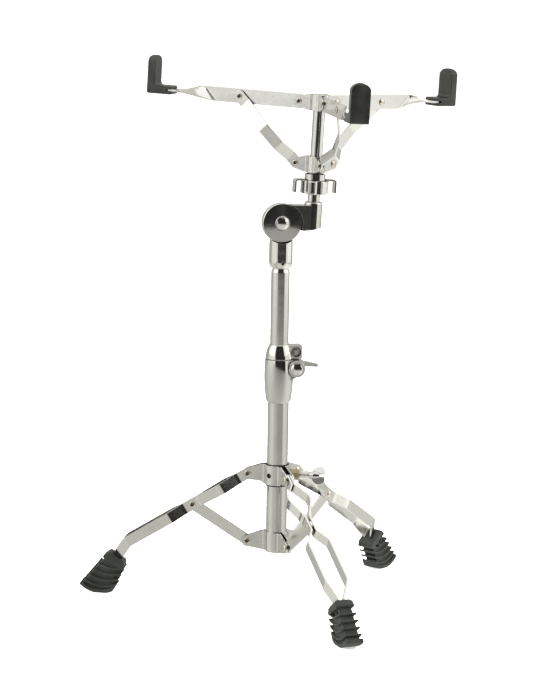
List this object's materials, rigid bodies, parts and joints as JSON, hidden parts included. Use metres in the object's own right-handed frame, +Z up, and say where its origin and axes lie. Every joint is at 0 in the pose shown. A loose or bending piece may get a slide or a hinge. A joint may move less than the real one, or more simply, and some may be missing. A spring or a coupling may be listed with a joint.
{
  "type": "snare drum stand",
  "caption": "Chromed snare drum stand: folding double-braced tripod, telescopic mast with clamp and memory lock, tilter, and a screw-closed basket with rubber grippers.",
  "frame": {"origin": "on the floor, on the base tube's axis", "axes": "+Z up along the mast, -Y towards the pictured side along the tilter's bolt, +X towards the basket's rod"},
  "size_m": [0.4656, 0.4025, 0.6484],
  "materials": {
    "tube_chrome": "bright plated tube",
    "pressed_chrome": "plated pressed steel",
    "strip_chrome": "plated strip",
    "cast_chrome": "plated casting",
    "rivet_steel": "bright rivet",
    "plain_steel": "plain turned steel",
    "brass": "turned brass",
    "nylon": "black nylon",
    "fibre": "pressed fibre",
    "gripper_rubber": "matt moulded rubber",
    "foot_rubber": "matt moulded rubber"
  },
  "bodies": {
    "base": {"base_tube": "tube_chrome", "lower_collar_plate_1": "pressed_chrome", "lower_collar_plate_2": "pressed_chrome", "lower_collar_plate_3": "pressed_chrome", "lower_collar_rivets": "rivet_steel", "height_clamp": "cast_chrome", "clamp_bush": "nylon", "clamp_bolt": "cast_chrome"},
    "upper_collar": {"upper_collar_plate_1": "pressed_chrome", "upper_collar_plate_2": "pressed_chrome", "upper_collar_plate_3": "pressed_chrome", "upper_collar_rivets": "rivet_steel", "upper_collar_bush": "nylon", "collar_nut": "brass"},
    "collar_wing_bolt": {"collar_wing_bolt": "cast_chrome"},
    "clamp_wing_nut": {"clamp_wing_nut": "cast_chrome"},
    "memory_lock": {"memory_lock": "cast_chrome", "lock_screw": "plain_steel"},
    "upper_mast": {"upper_tube": "tube_chrome", "tilter_base": "cast_chrome", "tilter_base_pin": "plain_steel", "tilter_bolt": "cast_chrome"},
    "tilter_wing_nut": {"tilter_wing_nut": "cast_chrome"},
    "tilting_arm": {"tilter_arm": "cast_chrome", "friction_washer": "fibre", "rod": "tube_chrome", "hub_core": "plain_steel", "hub_plates": "pressed_chrome", "hub_rivets": "rivet_steel"},
    "basket_collar": {"basket_collar_plates": "pressed_chrome", "basket_collar_rivets": "rivet_steel", "basket_collar_bush": "cast_chrome"},
    "basket_nut": {"basket_nut": "cast_chrome"},
    "strut_1": {"leg_1_strut": "strip_chrome"},
    "leg_1": {"leg_1_strip_a": "strip_chrome", "leg_1_strip_b": "strip_chrome", "leg_1_foot": "foot_rubber", "leg_1_knee_rivet": "rivet_steel"},
    "arm_1": {"arm_1": "strip_chrome", "gripper_1": "gripper_rubber"},
    "brace_1": {"brace_1": "strip_chrome", "brace_rivet_1": "rivet_steel"},
    "strut_2": {"leg_2_strut": "strip_chrome"},
    "leg_2": {"leg_2_strip_a": "strip_chrome", "leg_2_strip_b": "strip_chrome", "leg_2_foot": "foot_rubber", "leg_2_knee_rivet": "rivet_steel"},
    "arm_2": {"arm_2": "strip_chrome", "gripper_2": "gripper_rubber"},
    "brace_2": {"brace_2": "strip_chrome", "brace_rivet_2": "rivet_steel"},
    "strut_3": {"leg_3_strut": "strip_chrome"},
    "leg_3": {"leg_3_strip_a": "strip_chrome", "leg_3_strip_b": "strip_chrome", "leg_3_foot": "foot_rubber", "leg_3_knee_rivet": "rivet_steel"},
    "arm_3": {"arm_3": "strip_chrome", "gripper_3": "gripper_rubber"},
    "brace_3": {"brace_3": "strip_chrome", "brace_rivet_3": "rivet_steel"}
  },
  "joints": [
    {"name": "leg_fold", "type": "hinge", "parent": "base", "child": "strut_1", "pos_m": [0.00682, -0.03413, 0.0722], "axis": [-0.9806, -0.1959, 0], "range_deg": [-4, 46]},
    {"name": "leg_1_knee", "type": "hinge", "parent": "strut_1", "child": "leg_1", "pos_m": [0.01995, -0.09983, 0.1137], "axis": [-0.9806, -0.1959, 0], "range_deg": [-92, 8]},
    {"name": "strut_2_fold", "type": "hinge", "parent": "base", "child": "strut_2", "pos_m": [0.02614, 0.02297, 0.0722], "axis": [0.66, -0.7513, 0], "range_deg": [-4, 46]},
    {"name": "leg_2_knee", "type": "hinge", "parent": "strut_2", "child": "leg_2", "pos_m": [0.07648, 0.06719, 0.1137], "axis": [0.66, -0.7513, 0], "range_deg": [-92, 8]},
    {"name": "strut_3_fold", "type": "hinge", "parent": "base", "child": "strut_3", "pos_m": [-0.03296, 0.01116, 0.0722], "axis": [0.3206, 0.9472, 0], "range_deg": [-4, 46]},
    {"name": "leg_3_knee", "type": "hinge", "parent": "strut_3", "child": "leg_3", "pos_m": [-0.09643, 0.03264, 0.1137], "axis": [0.3206, 0.9472, 0], "range_deg": [-92, 8]},
    {"name": "collar_rise", "type": "hinge", "parent": "leg_1", "child": "upper_collar", "pos_m": [0.00682, -0.03413, 0.1552], "axis": [-0.9806, -0.1959, 0], "range_deg": [-4, 46]},
    {"name": "collar_wing_bolt_turn", "type": "hinge", "parent": "upper_collar", "child": "collar_wing_bolt", "pos_m": [0.02842, -0.00962, 0.1552], "axis": [0.9472, -0.3206, 0], "continuous": true},
    {"name": "clamp_wing_nut_turn", "type": "hinge", "parent": "base", "child": "clamp_wing_nut", "pos_m": [0.02482, 0.01555, 0.2853], "axis": [0.1908, 0.9816, 0], "continuous": true},
    {"name": "mast_swivel", "type": "hinge", "parent": "base", "child": "memory_lock", "pos_m": [0, 0, 0.307], "axis": [0, 0, 1], "continuous": true},
    {"name": "height_slide", "type": "slide", "parent": "memory_lock", "child": "upper_mast", "axis": [0, 0, 1], "range_m": [-0.08, 0.055]},
    {"name": "tilter_wing_nut_turn", "type": "hinge", "parent": "upper_mast", "child": "tilter_wing_nut", "pos_m": [0, 0.02, 0.4588], "axis": [0, 1, 0], "continuous": true},
    {"name": "basket_tilt", "type": "hinge", "parent": "upper_mast", "child": "tilting_arm", "pos_m": [0, 0, 0.4588], "axis": [0, 1, 0], "range_deg": [-92.5, 30]},
    {"name": "basket_nut_turn", "type": "hinge", "parent": "basket_collar", "child": "basket_nut", "pos_m": [0.03928, 0, 0.50333], "axis": [0.0436, 0, 0.999], "range_deg": [-720, 4320]},
    {"name": "basket_collar_slide", "type": "slide", "parent": "tilting_arm", "child": "basket_collar", "axis": [0.0436, 0, 0.999], "range_m": [-0.004, 0.024]},
    {"name": "arm_1_swing", "type": "hinge", "parent": "tilting_arm", "child": "arm_1", "pos_m": [0.04351, -0.0245, 0.60024], "axis": [-0.999, 0, 0.0436], "range_deg": [-3.75, 22.46]},
    {"name": "brace_1_swing", "type": "hinge", "parent": "basket_collar", "child": "brace_1", "pos_m": [0.04034, -0.0245, 0.52751], "axis": [-0.999, 0, 0.0436], "range_deg": [-0.59, 3.55]},
    {"name": "arm_2_swing", "type": "hinge", "parent": "tilting_arm", "child": "arm_2", "pos_m": [0.06471, 0.01225, 0.59931], "axis": [0.4995, -0.866, -0.0218], "range_deg": [-3.75, 22.46]},
    {"name": "brace_2_swing", "type": "hinge", "parent": "basket_collar", "child": "brace_2", "pos_m": [0.06153, 0.01225, 0.52658], "axis": [0.4995, -0.866, -0.0218], "range_deg": [-0.59, 3.55]},
    {"name": "arm_3_swing", "type": "hinge", "parent": "tilting_arm", "child": "arm_3", "pos_m": [0.02231, 0.01225, 0.60116], "axis": [0.4995, 0.866, -0.0218], "range_deg": [-3.75, 22.46]},
    {"name": "brace_3_swing", "type": "hinge", "parent": "basket_collar", "child": "brace_3", "pos_m": [0.01914, 0.01225, 0.52843], "axis": [0.4995, 0.866, -0.0218], "range_deg": [-0.59, 3.55]}
  ],
  "couplings": [
    {"joint": "leg_1_knee", "follows": "leg_fold", "ratio": -2},
    {"joint": "strut_2_fold", "follows": "leg_fold", "ratio": 1},
    {"joint": "leg_2_knee", "follows": "leg_fold", "ratio": -2},
    {"joint": "strut_3_fold", "follows": "leg_fold", "ratio": 1},
    {"joint": "leg_3_knee", "follows": "leg_fold", "ratio": -2},
    {"joint": "collar_rise", "follows": "leg_fold", "ratio": 1},
    {"joint": "basket_collar_slide", "follows": "basket_nut_turn", "m_per_rad": 0.00031831},
    {"joint": "arm_1_swing", "follows": "basket_nut_turn", "ratio": 0.0051948},
    {"joint": "brace_1_swing", "follows": "basket_nut_turn", "ratio": 0.00082124},
    {"joint": "arm_2_swing", "follows": "basket_nut_turn", "ratio": 0.0051948},
    {"joint": "brace_2_swing", "follows": "basket_nut_turn", "ratio": 0.00082124},
    {"joint": "arm_3_swing", "follows": "basket_nut_turn", "ratio": 0.0051948},
    {"joint": "brace_3_swing", "follows": "basket_nut_turn", "ratio": 0.00082124}
  ]
}
